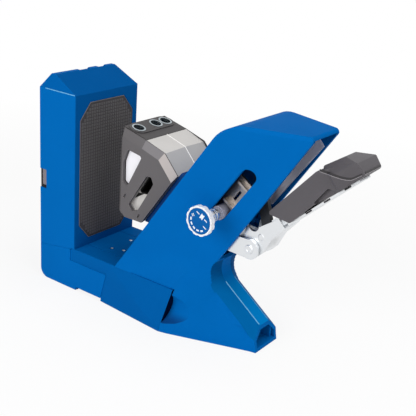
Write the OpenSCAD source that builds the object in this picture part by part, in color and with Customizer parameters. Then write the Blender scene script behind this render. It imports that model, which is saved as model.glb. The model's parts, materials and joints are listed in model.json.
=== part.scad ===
// Pocket hole jig: a column with a grip pad, a tray, and a leaning arm on which a drill guide
// block slides down towards the pad when the handle is pulled.
// The frame: pad face in the plane x = 0, centre plane y = 0, underside z = 0, handle towards +X.

/* [Body] */
// Width of the column, the tray and the front of the arm
body_w = 80; // [78:1:86]
// Wall thickness of the blue mouldings
wall = 3; // [2.4:0.2:3.4]
// Height of the tray floor
floor_z = 41; // [39:0.5:42]
// How far the tray's bottom edge spreads past the column on each side
base_flare = 5.5; // [3:0.5:7]

/* [Column] */
// Depth of the column behind the pad face
col_depth = 45; // [42:1:50]
// Height of the shoulder where the top chamfers start
col_shoulder = 185; // [182:1:188]
// Height of the column's ridge
col_top = 199; // [196:1:204]
// Distance of the ridge behind the pad face
col_ridge = 27; // [22:1:29]
// Width of the flat on the ridge
col_flat = 5; // [4:0.5:8]
// Height of the column's seam at the back
seam_back = 34; // [30:1:37]

/* [Pad] */
// Width of the grip pad
pad_w = 68; // [60:1:70]
// Lower edge of the grip pad
pad_low = 48; // [45:1:55]
// Upper edge of the grip pad
pad_high = 177; // [165:1:179]
// Corner cut of the pad across its width
pad_cut = 12.5; // [8:0.5:16]
// Thickness of the pad
pad_t = 4; // [3:0.5:6]

/* [Arm] */
// Slope of the arm above the horizontal
slope = 55.5; // [54.5:0.5:56.5]
// Distance of the arm's front plane from the frame's origin
arm_front = 18.4; // [17.4:0.2:19.4]
// Depth of the arm's tapering sides
arm_depth = 57; // [55:0.5:59]
// Half width of the arm at the back of its tapering sides
arm_rear = 19.5; // [18.5:0.5:21]
// Height of the arm's top
arm_top = 195; // [193:0.5:198]
// Radius of the arm's upper front corner
arm_round = 32; // [26:1:36]

/* [Foot] */
// Where the foot ends
foot_end = 189.5; // [186:0.5:193]
// Height of the foot's end
foot_lip = 20.8; // [19:0.2:23]
// Half width of the flat strip along the spine
spine_half = 6.5; // [5.5:0.5:8]
// Radius of the curve between the foot and the arm's back
spine_round = 17; // [14:1:19]

/* [Guide block] */
// Distance of the clamp face from the pad when open
clamp_open = 43; // [41:0.5:45]
// Half width of the guide block
guide_half = 30; // [28:0.5:32]
// Thickness of the guide block's side plates
plate_t = 3; // [2.5:0.5:4]
// Underside of the guide block when open
guide_low = 86; // [85.5:0.5:89]
// Bore of the drill bushings
drill_d = 9.5; // [8.5:0.1:10]
// Outside diameter of the drill bushings
bushing_d = 12.2; // [11.6:0.1:12.4]
// Angle of the drill axes from the vertical
drill_tilt = 15; // [14:0.5:16]
// Travel of the guide block down the arm
guide_travel = 53; // [48:0.5:53]

/* [Handle] */
// Swing of the handle in degrees
handle_swing = 78; // [70:1:80]
// Radius of the handle's pivot rivets
pivot_r = 3; // [2.6:0.1:3.6]
// Distance of the pull link's rivet from the pivot
crank = 15; // [14:0.5:16]
// Half width of the grip
grip_half = 12; // [11:0.5:13]

/* [Adjuster] */
// Width of the side slot
slot_w = 12.5; // [11:0.5:13.5]
// Travel of the adjuster along the slot
shuttle_travel = 45; // [30:1:46]
// Outside radius of the knob's rim
knob_r = 12.5; // [11.5:0.5:14]
// How far the knob's face stands from the centre plane
knob_reach = 52; // [50:0.5:56]

/* [Clearances] */
// Running gap between sliding faces
run_gap = 0.3; // [0.2:0.05:0.4]
// Running gap round the pivot pins
pin_gap = 0.05; // [0.02:0.01:0.1]
// Gap round pieces that are let in
seat_gap = 0.15; // [0.1:0.05:0.25]

/* [Hidden] */
$fn = 64;
blue = [0.0, 0.36, 0.66];
dark_grey = [0.36, 0.35, 0.36];
zinc = [0.86, 0.87, 0.88];
silver = [0.78, 0.78, 0.77];
half_w = body_w / 2;
lean = 90 - slope;
// Seams: the foot meets the tray behind the pad face, and the tray meets the arm's foot
joint_x = -4;
seam_front = floor_z - 0.8;
seam_low = 107;
seam_high = 116.4;
cheek_t = 2;
cheek_top = 28.5;
cheek_end = 40;
cheek_low_end = 33.5;
skirt_notch = 3;
// Arm
arm_taper = (half_w - arm_rear) / arm_depth;
arm_back = arm_front + arm_depth;
// The arm's rear edge runs closer to its front towards the top
spine_low = arm_back + 4;
spine_high = arm_back - 1.2;
ramp_angle = 36;
back_open = 137;
// Handle pivot and its place along and across the arm
pivot = [172.6, 89.2];
pivot_n = pivot[0] * cos(lean) - pivot[1] * sin(lean);
pivot_s = pivot[0] * sin(lean) + pivot[1] * cos(lean);
ear_in = 12;
ear_t = 3;
bracket_t = 2.7;
bracket_out = ear_in - run_gap;
// Pull link
lug_n = 40;
link_half = 4.5;
link_t = 4.5;
link_pin_r = 2.5;
crank_fall = crank * (1 - cos(handle_swing));
reach_open = pivot_n - lug_n;
reach_shut = reach_open + crank * sin(handle_swing);
rise_fall = guide_travel - crank_fall;
lug_rise = (rise_fall + (pow(reach_shut, 2) - pow(reach_open, 2)) / rise_fall) / 2;
lug_s = pivot_s + crank + lug_rise;
// Slide
neck_half = 9.7;
neck_low = 127;
neck_high = 166;
keeper_t = 4;
carriage_top = 176;
block_back = 9.2;
// Adjuster
slot_n = 55.5;
slot_s = 180;

// Plane geometry
function cross2(a, b) = a[0] * b[1] - a[1] * b[0];
function unit(v) = v / norm(v);
function polar(r, a) = [r * cos(a), r * sin(a)];
// Where the line through p along u meets the line through q along v
function meet(p, u, q, v) = p + u * cross2(q - p, v) / cross2(u, v);
// A point given across (n) and along (s) the arm, in the side view
function on_arm(n, s) = [n * cos(lean) + s * sin(lean), s * cos(lean) - n * sin(lean)];
// Points of a round corner at b between its neighbours a and c
function round_corner(a, b, c, r) =
    let (u = unit(a - b), v = unit(c - b), half = acos(u * v) / 2,
        o = b + unit(u + v) * r / sin(half), start = b + u * r / tan(half) - o,
        a0 = atan2(start[1], start[0]), sweep = sign(cross2(b - a, c - b)) * (180 - 2 * half),
        steps = max(2, ceil(abs(sweep) / 8)))
    [for (i = [0:steps]) o + polar(r, a0 + sweep * i / steps)];
// An outline from corners given as [x, z, radius]
function outline(c) =
    [for (i = [0:len(c) - 1])
        let (k = len(c), a = c[(i + k - 1) % k], b = c[i], d = c[(i + 1) % k])
        each b[2] == 0 ? [[b[0], b[1]]]
            : round_corner([a[0], a[1]], [b[0], b[1]], [d[0], d[1]], b[2])];
// The same outline moved inwards, for the hollow of a moulding
function inset(p, d) =
    [for (i = [0:len(p) - 1])
        let (k = len(p), e0 = unit(p[i] - p[(i + k - 1) % k]), e1 = unit(p[(i + 1) % k] - p[i]),
            q0 = p[i] + d * [-e0[1], e0[0]], q1 = p[i] + d * [-e1[1], e1[0]])
        abs(cross2(e0, e1)) < 0.0001 ? q1 : meet(q0, e0, q1, e1)];

// Solids from side views: x to the right, z up, between two planes of constant y
module slab(y0, y1) {
    translate([0, y1, 0]) rotate([90, 0, 0]) linear_extrude(y1 - y0) children();
}
module both_slabs(y0, y1) {
    slab(y0, y1) children();
    slab(-y1, -y0) children();
}
module both_sides() {
    children();
    mirror([0, 1, 0]) children();
}
// A pin along y at a point of the side view
module cross_pin(p, r, y0, y1) {
    translate([p[0], y1, p[1]]) rotate([90, 0, 0]) cylinder(r = r, h = y1 - y0);
}
// Children drawn with x across the arm and z along it
module leaning() {
    rotate([0, lean, 0]) children();
}
module arm_box(n0, n1, y0, y1, s0, s1) {
    leaning() translate([n0, y0, s0]) cube([n1 - n0, y1 - y0, s1 - s0]);
}
// A closed solid through a row of sections with as many points each
module skin(sections) {
    k = len(sections[0]);
    last = (len(sections) - 1) * k;
    sides = [for (i = [0:len(sections) - 2], j = [0:k - 1])
        let (a = i * k + j, b = i * k + (j + 1) % k) each [[a, a + k, b], [b, a + k, b + k]]];
    ends = [[for (j = [0:k - 1]) j], [for (j = [k - 1:-1:0]) last + j]];
    polyhedron([for (s = sections) each s], concat(ends, sides));
}

// A side view as three hollow cells side by side, with ribs between them
cell_w = (body_w - 4 * wall) / 3;
module cells() {
    for (j = [0:2])
        slab(wall - half_w + j * (cell_w + wall), wall - half_w + j * (cell_w + wall) + cell_w) children();
}

// Column foot
foot_outline = outline([[-col_depth, 0, 9], [joint_x, 0, 0], [joint_x, seam_front, 0],
    [-col_depth, seam_back, 0]]);
cheek_outline = [[joint_x - wall, 0], [2, 0], [2, skirt_notch], [cheek_low_end, skirt_notch],
    [cheek_end, cheek_top], [joint_x - wall, cheek_top]];
module column_foot() {
    color(blue) {
        difference() {
            slab(-half_w, half_w) polygon(foot_outline);
            cells() polygon([[wall - col_depth, -1], [joint_x - wall, -1],
                [joint_x - wall, seam_front - wall - 2], [wall - col_depth, seam_back - wall]]);
            both_slabs(half_w - 1.2, half_w + 1)
                polygon([[joint_x - 1.5, cheek_top], [joint_x + 1, cheek_top],
                    [joint_x + 1, floor_z + 1], [joint_x - 1.5, floor_z + 1]]);
        }
        both_slabs(half_w - cheek_t, half_w) polygon(cheek_outline);
    }
}

// Tray: a flared box, open below, with ribs
tray_half = half_w - 0.6;
tray_low = [for (k = [[joint_x + run_gap, 0], [cheek_low_end, 0], [seam_low - run_gap, base_flare]])
    [k[0], tray_half + k[1]]];
tray_high = [for (x = [joint_x + run_gap, cheek_end, seam_high - run_gap]) [x, tray_half]];
function mirrored(p) = concat([for (i = [len(p) - 1:-1:0]) p[i]], [for (q = p) [q[0], -q[1]]]);
function at_height(p, z) = [for (q = p) [q[0], q[1], z]];
rib_t = 3;
rib_rows = 3;
rib_cols = 3;
module base_tray() {
    hollow_x0 = 8;
    hollow_x1 = seam_low - 5;
    hollow_y = tray_half - 2 * wall;
    cell_x = (hollow_x1 - hollow_x0 - (rib_cols - 1) * rib_t) / rib_cols;
    cell_y = (2 * hollow_y - (rib_rows - 1) * rib_t) / rib_rows;
    color(blue) difference() {
        skin([at_height(mirrored(tray_low), 0), at_height(mirrored(tray_high), floor_z)]);
        for (i = [0:rib_cols - 1], j = [0:rib_rows - 1])
            translate([hollow_x0 + i * (cell_x + rib_t), -hollow_y + j * (cell_y + rib_t), -1])
                cube([cell_x, cell_y, floor_z - wall]);
        both_slabs(half_w - cheek_t - seat_gap, half_w + base_flare)
            polygon([for (p = cheek_outline) [p[0] + (p[0] > 10 ? seat_gap : 0),
                p[1] + (p[1] > 10 ? seat_gap : -seat_gap)]]);
        both_slabs(half_w - 9, half_w + base_flare + 1)
            polygon([[2, -1], [cheek_low_end + seat_gap, -1], [cheek_low_end + seat_gap, skirt_notch],
                [2, skirt_notch]]);
        for (p = floor_screws)
            translate([p[0], p[1], floor_z - 3]) cylinder(r = screw_r, h = 4);
        both_sides() translate([joint_x, tray_half - 17.5, floor_z - 0.5])
            cube([seam_high + 10, 0.8, 1]);
    }
}
floor_screws = [[22, 13], [33, 9], [22, -13], [33, -9]];
screw_r = 1.6;
module base_screws() {
    color(zinc) for (p = floor_screws)
        translate([p[0], p[1], floor_z - 3]) difference() {
            cylinder(r = screw_r - 0.05, h = 3);
            translate([0, 0, 2.6]) cylinder(r = screw_r / 2, h = 1, $fn = 6);
        }
}

// Column
col_outline = [[-col_depth, seam_back], [joint_x, seam_front], [joint_x, floor_z], [0, floor_z],
    [0, col_shoulder], [-col_ridge, col_top], [-col_ridge - col_flat, col_top],
    [-col_depth, col_shoulder]];
clip_low = 91;
clip_high = 109;
clip_w = 8;
clip_depth = 2.2;
function pad_shape(g) =
    let (y = pad_w / 2 + g, z0 = pad_low - g, z1 = pad_high + g, c = pad_cut, d = pad_cut * 1.2)
    [[-y, z0 + d], [c - y, z0], [y - c, z0], [y, z0 + d], [y, z1 - d], [y - c, z1], [c - y, z1],
        [-y, z1 - d]];
// A plate in the plane of the pad, from x0 forwards
module upright(x0, t) {
    translate([x0, 0, 0]) rotate([90, 0, 90]) linear_extrude(t) children();
}
module column_shell() {
    back = pad_t + 2 * wall;
    color(blue) difference() {
        slab(-half_w, half_w) polygon(col_outline);
        cells() polygon([[wall - col_depth, seam_back - 5], [-back, seam_back - 5], [-back, col_shoulder - 2],
            [-col_ridge, col_top - 1.4 * wall], [-col_ridge - col_flat, col_top - 1.4 * wall],
            [wall - col_depth, col_shoulder - wall]]);
        upright(-pad_t, pad_t + 1) polygon(pad_shape(seat_gap));
        both_slabs(half_w - clip_depth, half_w + 1)
            polygon([[-col_depth - 1, clip_low], [clip_w - col_depth, clip_low],
                [clip_w - col_depth, clip_high], [-col_depth - 1, clip_high]]);
        for (k = [[-7, 14], [17, 11]])
            translate([-col_ridge - col_flat - 5, k[0], col_top - 1.6]) cube([9, k[1], 4]);
        // The sides lean in above the shoulder
        both_sides() translate([-col_depth - 1, half_w, col_shoulder]) rotate([9, 0, 0])
            cube([col_depth + 2, 5, 30]);
    }
}
module grip_pad() {
    color(dark_grey) upright(-pad_t, pad_t) polygon(pad_shape(0));
}
module column_clips() {
    color([0.45, 0.47, 0.5]) both_slabs(half_w - clip_depth, half_w - 0.8)
        polygon([[0.6 - col_depth, clip_low + seat_gap], [clip_w - col_depth, clip_low + seat_gap],
            [clip_w - col_depth, clip_high - seat_gap], [0.6 - col_depth, clip_high - seat_gap]]);
}

// Arm and foot: a side view cut by sides whose half width follows a rule
s_dir = polar(1, slope);
ramp_dir = polar(1, 180 - ramp_angle);
foot_top = [foot_end - 4, foot_lip];
rear_low = on_arm(spine_low, back_open);
rear_dir = unit(on_arm(spine_high, 290) - rear_low);
rear_top = meet(rear_low, rear_dir, [0, arm_top], [1, 0]);
spine_corner = meet(foot_top, ramp_dir, rear_low, rear_dir);
function arm_at(n, z) = meet(on_arm(n, 0), s_dir, [0, z], [1, 0]);
arm_outline = outline([[seam_low, 0, 0], [foot_end, 0, 0], [foot_top[0], foot_top[1], 0],
    [spine_corner[0], spine_corner[1], spine_round],
    [rear_top[0], arm_top, 3],
    [arm_at(arm_front, arm_top)[0], arm_top, arm_round],
    [arm_at(arm_front, floor_z)[0], floor_z, 0], [seam_high, floor_z, 0]]);
// Larger of two widths, blended where they are nearly the same
function soft_max(a, b, k) = max(a, b) + pow(max(k - abs(a - b), 0), 2) / (4 * k);
function arm_half(x, z) = half_w - arm_taper * (x * cos(lean) - z * sin(lean) - arm_front);
// The sides lean in along the arm's top edge
top_bevel = 0.5;
top_soft = arm_top - 3.3;
foot_plan = 0.364;
foot_skirt = 9;
foot_ridge = 15.5;
// The foot's sides are upright at the tray and lean in more and more behind it
function foot_draft(x) = 0.05 + 0.42 * min(max((x - seam_high) / 30, 0), 1);
function foot_half(x, z) =
    let (low = max(floor_z - z, 0) / floor_z, above = max(z - floor_z, 0),
        plan = half_w + base_flare - foot_plan * (x - seam_low))
    max(min(half_w + base_flare * low, plan) - foot_draft(x) * max(z - foot_skirt, 0), foot_ridge)
        - 0.55 * above;
function side_half(x, z) =
    let (a = arm_half(x, z), widest = half_w + base_flare * max(floor_z - z, 0) / floor_z)
    a + min(soft_max(a, foot_half(x, z), 10) - a, max(widest - a, 0)) - top_bevel * max(z - top_soft, 0);
// The tapering sides as a solid, g inside the outer face
side_rows = concat([-2, foot_skirt, 20, 30], [for (i = [0:7]) floor_z + 0.7 + 4 * i], [80, 92, 110, top_soft, 202]);
side_cols = concat([arm_front - 9], [for (i = [0:7]) arm_front + 0.9 + i * arm_depth / 7],
    [for (i = [1:9]) arm_back + 1.3 + i * 9.5]);
module tapering_sides(g) {
    rows = len(side_rows);
    cols = len(side_cols);
    function index(k, i, j) = (k * rows + i) * cols + j;
    points = [for (k = [-1, 1], z = side_rows, n = side_cols)
        let (x = arm_at(n, z)[0]) [x, k * max(side_half(x, z) - g, 1), z]];
    function patch(k, i, j) = k == 0
        ? [[index(0, i, j), index(0, i + 1, j), index(0, i, j + 1)],
            [index(0, i, j + 1), index(0, i + 1, j), index(0, i + 1, j + 1)]]
        : [[index(1, i, j), index(1, i, j + 1), index(1, i + 1, j)],
            [index(1, i, j + 1), index(1, i + 1, j + 1), index(1, i + 1, j)]];
    sides = [for (k = [0, 1], i = [0:rows - 2], j = [0:cols - 2]) each patch(k, i, j)];
    ends = [for (i = [0:rows - 2]) each [
        [index(0, i, 0), index(1, i, 0), index(0, i + 1, 0)],
        [index(1, i, 0), index(1, i + 1, 0), index(0, i + 1, 0)],
        [index(0, i, cols - 1), index(0, i + 1, cols - 1), index(1, i, cols - 1)],
        [index(1, i, cols - 1), index(0, i + 1, cols - 1), index(1, i + 1, cols - 1)]]];
    caps = [for (j = [0:cols - 2]) each [
        [index(0, 0, j), index(0, 0, j + 1), index(1, 0, j)],
        [index(1, 0, j), index(0, 0, j + 1), index(1, 0, j + 1)],
        [index(0, rows - 1, j), index(1, rows - 1, j), index(0, rows - 1, j + 1)],
        [index(1, rows - 1, j), index(1, rows - 1, j + 1), index(0, rows - 1, j + 1)]]];
    polyhedron(points, concat(sides, ends, caps));
}
// Bevels beside the foot's ridge: each entry is a point, the way out and the bevel's fall
bevel_fall = 0.68;
bevel_w = 24;
ramp_out = [sin(ramp_angle), cos(ramp_angle)];
spine_arc = round_corner(foot_top, spine_corner, rear_top, spine_round);
curve_centre = spine_arc[0] + spine_round * ramp_out;
arc_last = len(spine_arc) - 1;
bevel_path = concat([[foot_top - 12 * ramp_dir, ramp_out, bevel_fall]],
    [for (i = [0:arc_last])
        [spine_arc[i], (curve_centre - spine_arc[i]) / spine_round, bevel_fall * (1 - i / arc_last)]]);
module foot_bevels(depth) {
    both_sides() skin([for (k = bevel_path)
        [for (q = [[0, -depth], [0, 8], [bevel_w, 8], [bevel_w, -depth - bevel_w * k[2]]])
            [k[0][0] + q[1] * k[1][0], spine_half + q[0], k[0][1] + q[1] * k[1][1]]]]);
}
// Finger scoop beside the tray's end, g outside its face
scoop_r = 16;
module scoop(g) {
    translate([seam_low - 10, half_w + 9.5, 24]) rotate([0, 90, 0]) cylinder(r = scoop_r + g, h = 49 + g);
}
module arm_body() {
    inner = inset(arm_outline, wall);
    neck_slot = neck_half + run_gap;
    color(blue) difference() {
        intersection() {
            slab(-half_w - base_flare, half_w + base_flare) polygon(arm_outline);
            tapering_sides(0);
        }
        difference() {
            intersection() {
                slab(-half_w, half_w) union() {
                    polygon(inner);
                    polygon([on_arm(arm_back - 20, back_open), on_arm(spine_low + 5, back_open),
                        arm_at(spine_low + 5, arm_top - wall), arm_at(arm_back - 20, arm_top - wall)]);
                    polygon([[foot_end - 40, wall], [foot_end + 5, wall],
                        foot_top + [5, -wall - 5 * tan(ramp_angle)],
                        foot_top + [-30, -wall + 30 * tan(ramp_angle) - 1]]);
                }
                tapering_sides(wall);
            }
            both_sides() arm_box(50, arm_back - 3, ear_in + ear_t, half_w, back_open - 1, slot_s - 6);
            both_sides() scoop(wall);
            foot_bevels(wall);
            // Ribs along the foot
            both_slabs(10, 10 + wall) polygon([[seam_low - 2, 0], [foot_end - 4, 0], [foot_end - 4, 40],
                [120, 72], [seam_low - 2, 60]]);
        }
        arm_box(arm_front - 1, arm_front + wall + 1, -neck_slot, neck_slot,
            neck_low - guide_travel - run_gap, neck_high + run_gap);
        leaning() translate([slot_n, -half_w, slot_s]) rotate([-90, 0, 0]) cylinder(d = slot_w, h = 30);
        leaning() translate([slot_n, -half_w, slot_s + shuttle_travel]) rotate([-90, 0, 0])
            cylinder(d = slot_w, h = 30);
        arm_box(slot_n - slot_w / 2, slot_n + slot_w / 2, -half_w, -half_w + 30, slot_s,
            slot_s + shuttle_travel);
        both_sides() scoop(0);
        foot_bevels(0);
        // Shadow line above the tray's side
        both_slabs(half_w - 1.2, half_w + base_flare)
            polygon([[70, floor_z - 1], [seam_high - 0.2, floor_z - 1], [seam_high - 0.2, floor_z + 0.6],
                [70, floor_z + 0.6]]);
    }
}
rail_low = 196;
rail_high = 268;
rail_rear = arm_back - 1.8;
module guide_rails() {
    function inner_half(n) = half_w - arm_taper * (n - arm_front) - wall - seat_gap;
    color([0.5, 0.51, 0.55]) both_sides() leaning() translate([0, 0, rail_low])
        linear_extrude(rail_high - rail_low)
            polygon([[63, inner_half(63)], [63, inner_half(63) - 2], [rail_rear, inner_half(rail_rear) - 2],
                [rail_rear, inner_half(rail_rear)]]);
}

// Ears that carry the handle, and the rivets in them
ear_r = 8.6;
module pivot_frame() {
    flat = ear_r - 0.3;
    ear = [for (k = [[-32.6, -7.2], [0, -flat], [0, flat], [-22.6, flat - 0.1], [-36.6, 0.8]]) pivot + k];
    web = [for (k = [[-31, -5], [-28, -5], [-28, 3], [-31, 3]]) pivot + k];
    color(zinc) difference() {
        union() {
            both_slabs(ear_in, ear_in + ear_t) polygon(ear);
            cross_pin(pivot, ear_r, ear_in, ear_in + ear_t);
            cross_pin(pivot, ear_r, -ear_in - ear_t, -ear_in);
            slab(-ear_in - 1, ear_in + 1) polygon(web);
        }
        cross_pin(pivot, pivot_r, -20, 20);
    }
}
rivet_head = 0.9;
module pivot_rivets() {
    shank_in = bracket_out - bracket_t - 0.2;
    color(zinc) both_sides() {
        cross_pin(pivot, pivot_r, shank_in - 1.4, ear_in + ear_t + 0.5);
        cross_pin(pivot, pivot_r + 1.5, shank_in - 1.4, shank_in);
        translate([pivot[0], ear_in + ear_t, pivot[1]]) rotate([-90, 0, 0]) difference() {
            cylinder(r1 = pivot_r + 1, r2 = pivot_r + 0.5, h = rivet_head);
            translate([0, 0, rivet_head - 0.4]) cylinder(r = pivot_r - 1.2, h = 1);
        }
    }
}

// Drill guide block. Its side view, from the clamp face round to its lower back corner
block_top = [clamp_open + 2, 166.3];
cap_end = [block_top[0] + 25, block_top[1] - 25 * tan(drill_tilt)];
facet_mid = [90.5, 153.3];
facet_end = on_arm(block_back, 172.5);
block_low = meet(on_arm(block_back, 0), s_dir, [0, guide_low], [1, 0]);
cap_t = 5;
cap_drop = cap_t * [-sin(drill_tilt), -cos(drill_tilt)];
face_t = 3;
core_x = clamp_open + face_t;
core_outline = [[core_x + 3, guide_low + 1], [block_low[0] - 1, guide_low + 1],
    block_low + s_dir, facet_end, facet_mid, cap_end, cap_end + cap_drop,
    [core_x, block_top[1] - cap_t - 2]];
// Chip windows of the side plates, and small slots near their lower edge
window_upper = outline([[52, 148, 2], [47.5, 136, 2], [47.8, 118, 2], [53, 115, 2], [68.3, 145, 2]]);
window_lower = outline([[74.2, 129.5, 2], [55, 99, 2], [59.2, 93.9, 2], [65.5, 95.7, 2], [82, 124, 2],
    [79.5, 129.8, 2]]);
// The deep part of the lower window
window_dark = outline([[74.2, 129.5, 2], [62.3, 110.6, 2], [74.6, 111.3, 2], [82, 124, 2], [79.5, 129.8, 2]]);
liner_t = 1.2;
pocket_y = 13;
// Drill axes: across the block, as on such guides, and their slanting line
drill_y = [-17.6, 4.6, 17.3];
drill_top = [block_top[0] + 8, 0];
drill_z = block_top[1] - 8 * tan(drill_tilt);
bushing_l = 19.8;
bushing_proud = 1.2;
module on_drill(y) {
    translate([drill_top[0], y, drill_z]) rotate([0, drill_tilt, 0]) children();
}
module drill_hole(y, r, low, high) {
    on_drill(y) translate([0, 0, low]) cylinder(r = r, h = high - low);
}
core_gap = 0.7;
core_half = guide_half - plate_t - core_gap;
module guide_core() {
    ridge = 0.9;
    color(silver) difference() {
        hull() {
            slab(-0.5, 0.5) polygon(core_outline);
            slab(-core_half, core_half) polygon([for (p = core_outline)
                p == facet_mid ? p - [ridge * 0.6, ridge] : p == facet_end ? p - [ridge, ridge] : p]);
        }
        slab(-guide_half, guide_half)
            polygon([block_top + cap_drop, cap_end + cap_drop, cap_end, cap_end + [0, 10],
                block_top + [0, 10]]);
        slab(-core_half - 1, core_half + 1) polygon([[40, 113], [54, 113], [54, 175], [40, 175]]);
        both_slabs(core_half - liner_t, core_half + 1) {
            polygon(window_upper);
            polygon(window_lower);
        }
        both_slabs(pocket_y, core_half + 1) polygon(window_dark);
        for (y = drill_y) drill_hole(y, bushing_d / 2, -bushing_l, 20);
        for (y = drill_y) drill_hole(y, drill_d / 2 + 0.3, -80, 0);
    }
}
// Pale panels in the upper windows and dark cups in the lower ones
module chip_liners() {
    color([0.91, 0.91, 0.94]) both_slabs(core_half - liner_t, core_half)
        polygon(inset(window_upper, seat_gap));
}
module chip_pockets() {
    color([0.05, 0.05, 0.05]) difference() {
        both_slabs(pocket_y, core_half - liner_t) polygon(inset(window_dark, seat_gap));
        both_slabs(pocket_y + 1.5, core_half) polygon(inset(window_dark, 1.2));
    }
}
plate_top = [core_x, block_top[1] - face_t * tan(drill_tilt)];
plate_outline = [[core_x, guide_low + 4], [core_x + 5, guide_low], [block_low[0], guide_low],
    facet_end, facet_mid, cap_end, plate_top];
bevel_drop = 7.5;
module side_plate(side) {
    bevel_t = plate_t - 0.3;
    color(dark_grey) mirror([0, side > 0 ? 0 : 1, 0]) difference() {
        slab(guide_half - plate_t, guide_half) polygon(plate_outline);
        slab(guide_half - plate_t - 1, guide_half + 1) {
            polygon(window_upper);
            polygon(window_lower);
        }
        // Broad bevels along the cap and the facets
        for (e = [[plate_top, cap_end], [cap_end, facet_mid], [facet_mid, facet_end]])
            translate([e[0][0], guide_half - bevel_t, e[0][1]])
                rotate([0, -atan2((e[1] - e[0])[1], (e[1] - e[0])[0]), 0])
                    rotate([-atan2(bevel_drop, bevel_t), 0, 0])
                        translate([-12, -3, 0]) cube([norm(e[1] - e[0]) + 24, 14, 14]);
        for (p = [[50.5, 105.5], [67, 91.4]])
            translate([p[0], guide_half, p[1]]) rotate([0, lean, 0]) cube([1.6, 3, 4.5], center = true);
    }
}
cap_outline = [block_top + cap_drop, cap_end + cap_drop, cap_end, block_top];
module top_plate() {
    color(dark_grey) difference() {
        union() {
            slab(-core_half, core_half) polygon(cap_outline);
            hull() for (k = [0, 2])
                drill_hole(drill_y[k], bushing_d / 2 + 2.2, -1, bushing_proud - 0.4, $fn = 48);
        }
        for (y = drill_y) drill_hole(y, bushing_d / 2, -20, 20);
    }
}
module clamp_face() {
    high = block_top[1] - cap_t - 3;
    color(dark_grey) difference() {
        slab(-guide_half + 2, guide_half - 2)
            polygon(outline([[clamp_open + 3, guide_low, 0], [core_x, guide_low, 0], [core_x, high, 0],
                [clamp_open + 1, high, 0], [clamp_open, 140, 0], [clamp_open, guide_low + 4, 0]]));
        for (y = drill_y) drill_hole(y, bushing_d / 2, -80, 20);
    }
}
module bushing(y) {
    color(zinc) intersection() {
        difference() {
            drill_hole(y, bushing_d / 2, -bushing_l, bushing_proud);
            drill_hole(y, drill_d / 2, -bushing_l - 5, bushing_proud + 5);
        }
        translate([clamp_open + 0.2, -50, 0]) cube([100, 100, 220]);
    }
}
module bushing_a() {
    bushing(drill_y[0]);
}
module bushing_b() {
    bushing(drill_y[1]);
}
module bushing_c() {
    bushing(drill_y[2]);
}
module side_plate_near() {
    side_plate(-1);
}
module side_plate_far() {
    side_plate(1);
}

// Slide behind the block, its keeper inside the arm, and the draw bar
carriage_half = 25;
module guide_carriage() {
    face = arm_front - run_gap;
    low = meet(on_arm(face, 0), s_dir, [0, guide_low], [1, 0]);
    color(blue) {
        slab(-carriage_half, carriage_half)
            polygon([block_low, meet(on_arm(16, 0), s_dir, [0, guide_low], [1, 0]),
                on_arm(16, carriage_top), on_arm(block_back, carriage_top)]);
        slab(-carriage_half + 2, carriage_half - 2)
            polygon([meet(on_arm(15.5, 0), s_dir, [0, guide_low], [1, 0]), low,
                on_arm(face, carriage_top), on_arm(15.5, carriage_top)]);
        arm_box(face - 1, arm_front + wall + run_gap, -neck_half, neck_half, neck_low, neck_high);
    }
}
keeper_n = arm_front + wall + run_gap;
module carriage_keeper() {
    color(zinc) arm_box(keeper_n, keeper_n + keeper_t, -16, 16, neck_low, neck_high);
}
bar_half = 8;
bar_t = 2.8;
module draw_bar() {
    n0 = keeper_n + keeper_t;
    slip = 5.5;
    color(zinc) difference() {
        union() {
            arm_box(n0, n0 + bar_t, -bar_half, bar_half, neck_low + 2, lug_s + 12);
            both_sides() leaning() slab(bar_half - bar_t, bar_half)
                polygon([[n0 + 1, lug_s - 34], [lug_n + 7, lug_s - 8], [lug_n + 7, lug_s + 12],
                    [n0 + 1, lug_s + 12]]);
        }
        for (k = [0, slip])
            leaning() translate([lug_n - 0.5, -20, lug_s + k]) rotate([-90, 0, 0])
                cylinder(r = link_pin_r + 1, h = 40);
        arm_box(lug_n - link_pin_r - 1.5, lug_n + link_pin_r + 0.5, -20, 20, lug_s, lug_s + slip);
    }
}

// Pull link between the handle's small rivet and the draw bar
crank_at = on_arm(pivot_n, pivot_s + crank);
lug_at = on_arm(lug_n, lug_s);
module pull_link() {
    along = unit(lug_at - crank_at);
    across = [-along[1], along[0]] * link_half;
    color(zinc) difference() {
        union() {
            slab(-link_t / 2, link_t / 2) polygon([crank_at - across, lug_at - across, lug_at + across,
                crank_at + across]);
            cross_pin(crank_at, link_half + 1, -link_t / 2, link_t / 2);
            cross_pin(lug_at, link_half + 0.5, -link_t / 2, link_t / 2);
        }
        cross_pin(crank_at, link_pin_r + pin_gap, -10, 10);
        cross_pin(lug_at, link_pin_r, -10, 10);
    }
}
module link_pin() {
    color(zinc) cross_pin(lug_at, link_pin_r, -bar_half - 1, bar_half + 1);
}
module link_rivet() {
    color(zinc) {
        cross_pin(crank_at, link_pin_r, -bracket_out, bracket_out);
        both_sides() translate([crank_at[0], bracket_out, crank_at[1]]) rotate([-90, 0, 0])
            cylinder(r1 = link_pin_r + 0.3, r2 = link_pin_r - 0.3, h = 0.5);
    }
}

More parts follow.
